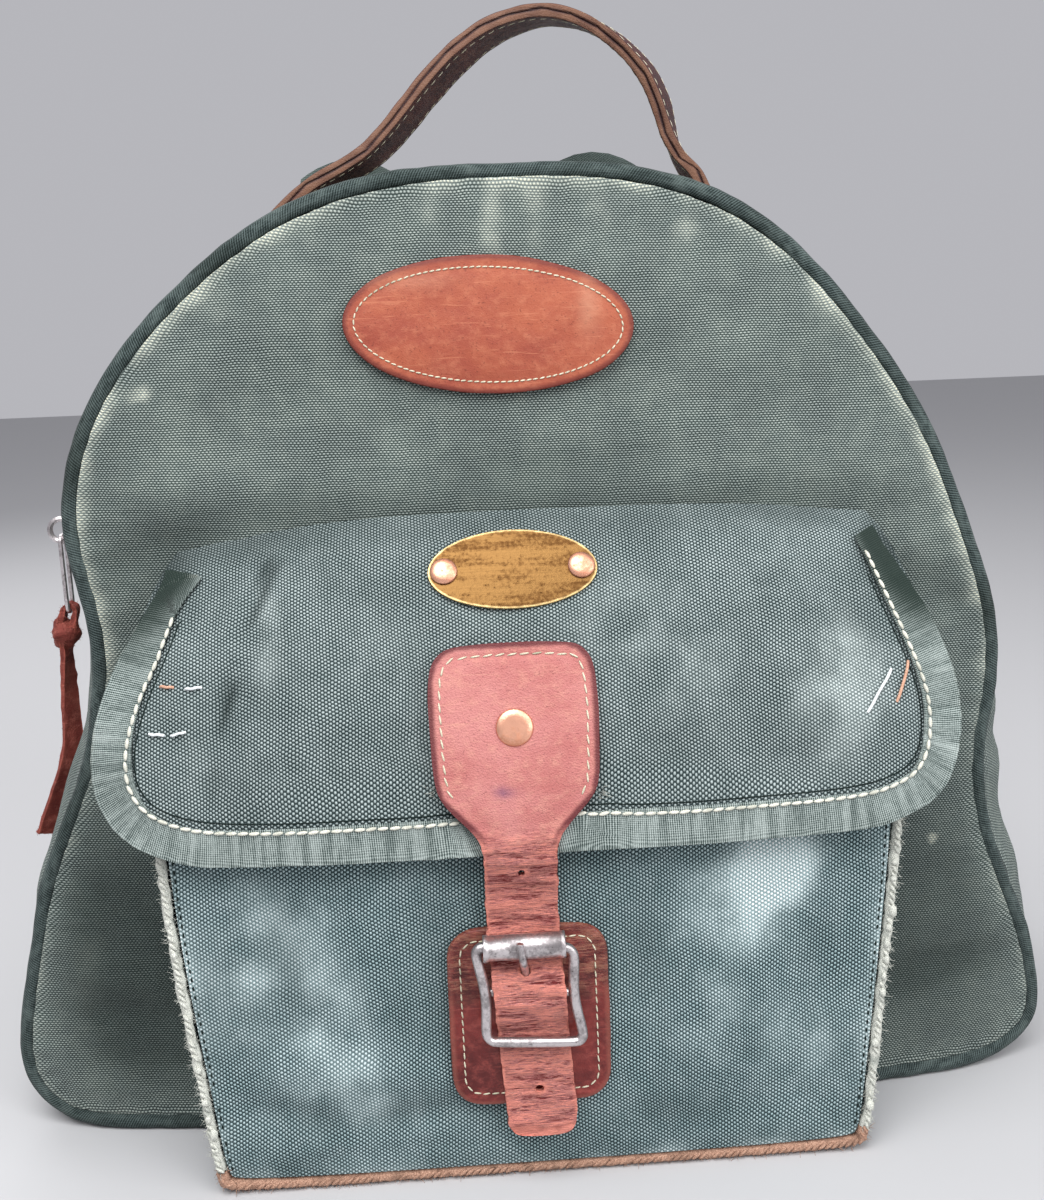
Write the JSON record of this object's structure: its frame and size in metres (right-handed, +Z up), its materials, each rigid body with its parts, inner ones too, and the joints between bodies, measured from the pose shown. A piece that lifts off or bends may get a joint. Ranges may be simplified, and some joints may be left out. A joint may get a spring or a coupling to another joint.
{
  "type": "canvas fishing day pack with leather trim",
  "caption": "Arched canvas day pack with a flapped bellows pocket, buckled leather strap, oval leather patch, brass plate, top zip, grab handle and canvas shoulder straps.",
  "frame": {"origin": "on the surface that the bag stands on, under the middle of the body's width and depth", "axes": "+Z up, +X to the right seen from the front, the pocket faces -Y"},
  "size_m": [0.3988, 0.2493, 0.4044],
  "materials": {
    "body_canvas": "faded plain-weave canvas, grey-green",
    "pocket_canvas": "faded plain-weave canvas, blue-green",
    "piping_canvas": "ribbed twill over a cord",
    "binding_tape": "cross-ribbed binding tape",
    "frayed_edge": "piping worn to its cream cord",
    "worn_hem": "tan leather edge, frayed",
    "strap_web": "folded canvas strap",
    "zip_cloth": "dark zip tape",
    "zip_metal": "brass zip chain, tarnished",
    "patch_leather": "orange-brown leather, scuffed",
    "tab_leather": "pink-brown leather, cracked along the strap",
    "buckle_leather": "deep red-brown leather, glossy",
    "thong_leather": "red-brown rawhide, dry",
    "handle_leather": "brown leather with tan cut edges",
    "brass": "brushed brass, scratched",
    "copper": "copper rivet, polished by wear",
    "nickel": "nickel plate, worn"
  },
  "bodies": {
    "bag": {"front_panel": "body_canvas", "back_panel": "body_canvas", "gusset_base": "body_canvas", "gusset_front": "body_canvas", "gusset_rear": "body_canvas", "pocket_front": "pocket_canvas", "pocket_gusset": "pocket_canvas", "pocket_flap": "pocket_canvas", "front_piping": "piping_canvas", "back_piping": "piping_canvas", "flap_binding": "binding_tape", "pocket_piping_left": "frayed_edge", "pocket_piping_right": "frayed_edge", "pocket_hem": "worn_hem", "shoulder_strap_left": "strap_web", "shoulder_strap_right": "strap_web", "zip_tape": "zip_cloth", "zip_chain": "zip_metal", "oval_patch": "patch_leather", "flap_strap": "tab_leather", "buckle_patch": "buckle_leather", "buckle_chape": "buckle_leather", "top_handle": "handle_leather", "name_plate": "brass", "plate_rivet_left": "copper", "plate_rivet_right": "copper", "tab_rivet": "copper", "zip_slider": "nickel", "buckle_frame": "nickel", "buckle_roller": "nickel", "buckle_tongue": "nickel"},
    "pull": {"zip_pull": "nickel", "pull_thong": "thong_leather"}
  },
  "joints": [
    {"name": "pull_swing", "type": "hinge", "parent": "bag", "child": "pull", "pos_m": [-0.17234, 0, 0.21005], "axis": [0, 1, 0], "range_deg": [0, 110]}
  ]
}
